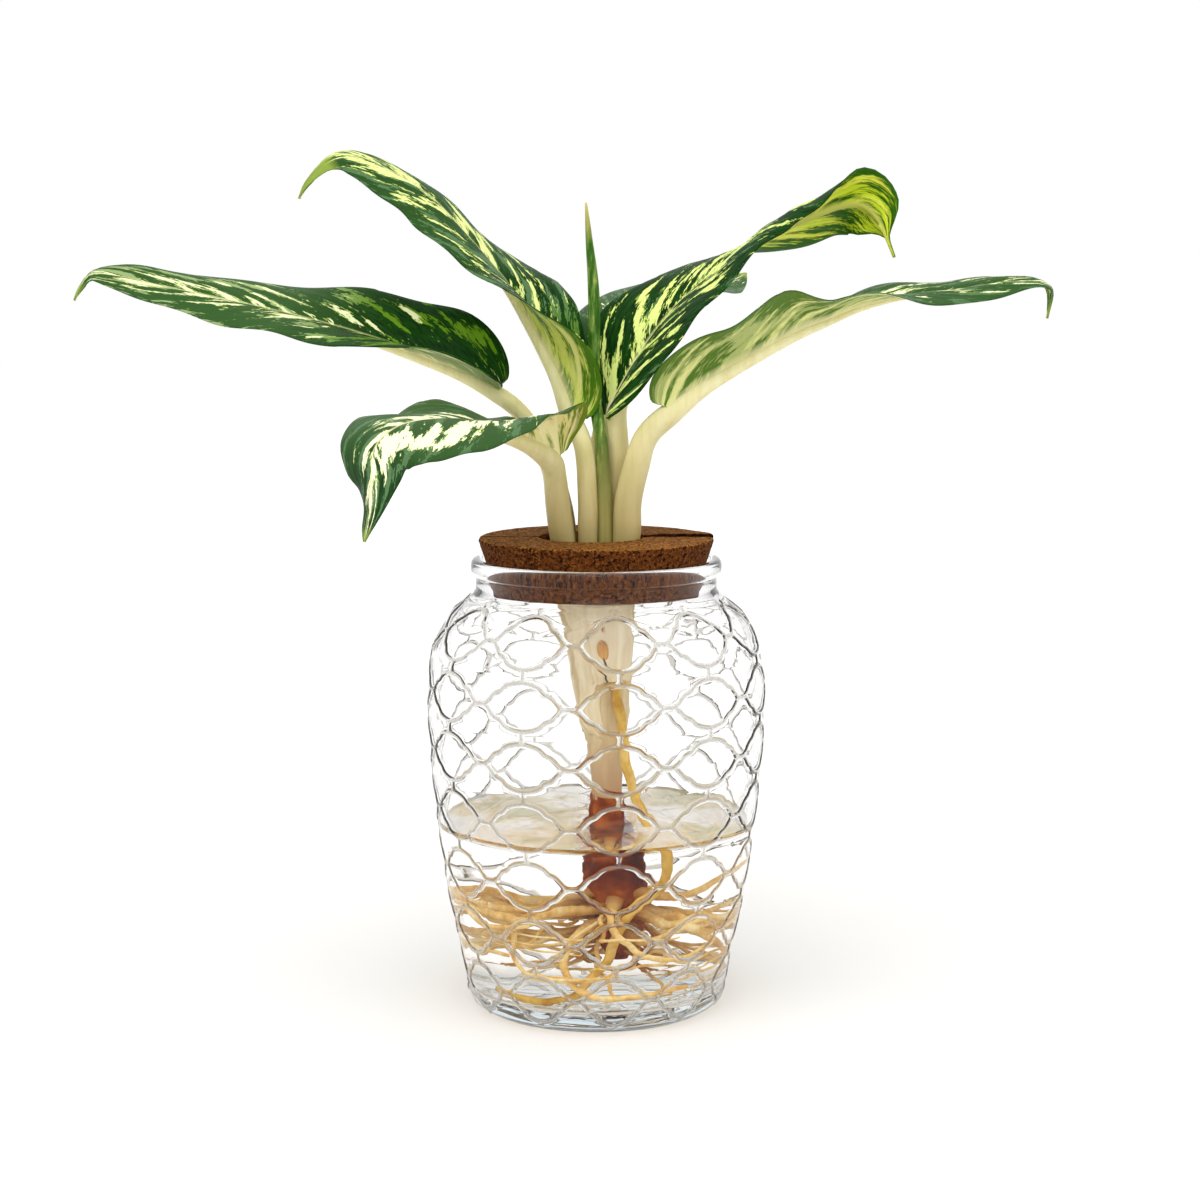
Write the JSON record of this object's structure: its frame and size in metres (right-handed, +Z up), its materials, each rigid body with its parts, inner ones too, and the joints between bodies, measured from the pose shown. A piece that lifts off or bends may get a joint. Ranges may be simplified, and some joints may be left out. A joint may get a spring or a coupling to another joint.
{
  "type": "hydroponic jar planter",
  "caption": "Clear glass jar with a raised diamond lattice, part filled with water, whose split cork lid holds a variegated leafy plant with its roots in the water.",
  "frame": {"origin": "middle of the jar's foot, on the surface that it stands on", "axes": "+Z up along the jar's axis, +X to the right as seen from the front, +Y to the rear"},
  "size_m": [0.3871, 0.2891, 0.3434],
  "materials": {
    "clear_glass": "polished",
    "water": "gloss",
    "cork": "matte",
    "pale_stalk": "satin",
    "old_root": "matte",
    "root": "satin",
    "leaf": "satin"
  },
  "bodies": {
    "jar": {"glass_jar": "clear_glass", "water": "water"},
    "plant": {"stem": "pale_stalk", "root_crown": "old_root", "spear_leaf": "leaf", "stalk_far_left": "pale_stalk", "stalk_front_left": "pale_stalk", "stalk_upper_left": "pale_stalk", "stalk_upper_right": "pale_stalk", "stalk_right": "pale_stalk", "stalk_rear": "pale_stalk", "leaf_far_left": "leaf", "leaf_front_left": "leaf", "leaf_upper_left": "leaf", "leaf_upper_right": "leaf", "leaf_right": "leaf", "leaf_rear": "leaf", "aerial_root": "root", "water_root_1": "root", "water_root_2": "root", "water_root_3": "root", "water_root_4": "root", "water_root_5": "root", "water_root_6": "root", "water_root_7": "root", "water_root_8": "root", "water_root_9": "root", "water_root_10": "root", "water_root_11": "root", "water_root_12": "root"},
    "cork_front": {"cork_front_half": "cork"},
    "cork_rear": {"cork_rear_half": "cork"}
  },
  "joints": [
    {"name": "plant_lift", "type": "slide", "parent": "jar", "child": "plant", "axis": [0, 0, 1], "range_m": [0, 0.185], "deforming": ["water", "aerial_root", "water_root_1", "water_root_2", "water_root_3", "water_root_4", "water_root_5", "water_root_6", "water_root_7", "water_root_8", "water_root_9", "water_root_10", "water_root_11", "water_root_12"]},
    {"name": "cork_front_lift", "type": "slide", "parent": "plant", "child": "cork_front", "axis": [0, -0.2419, 0.9703], "range_m": [0, 0.0155]},
    {"name": "cork_rear_lift", "type": "slide", "parent": "plant", "child": "cork_rear", "axis": [0, 0.2419, 0.9703], "range_m": [0, 0.0155]}
  ]
}
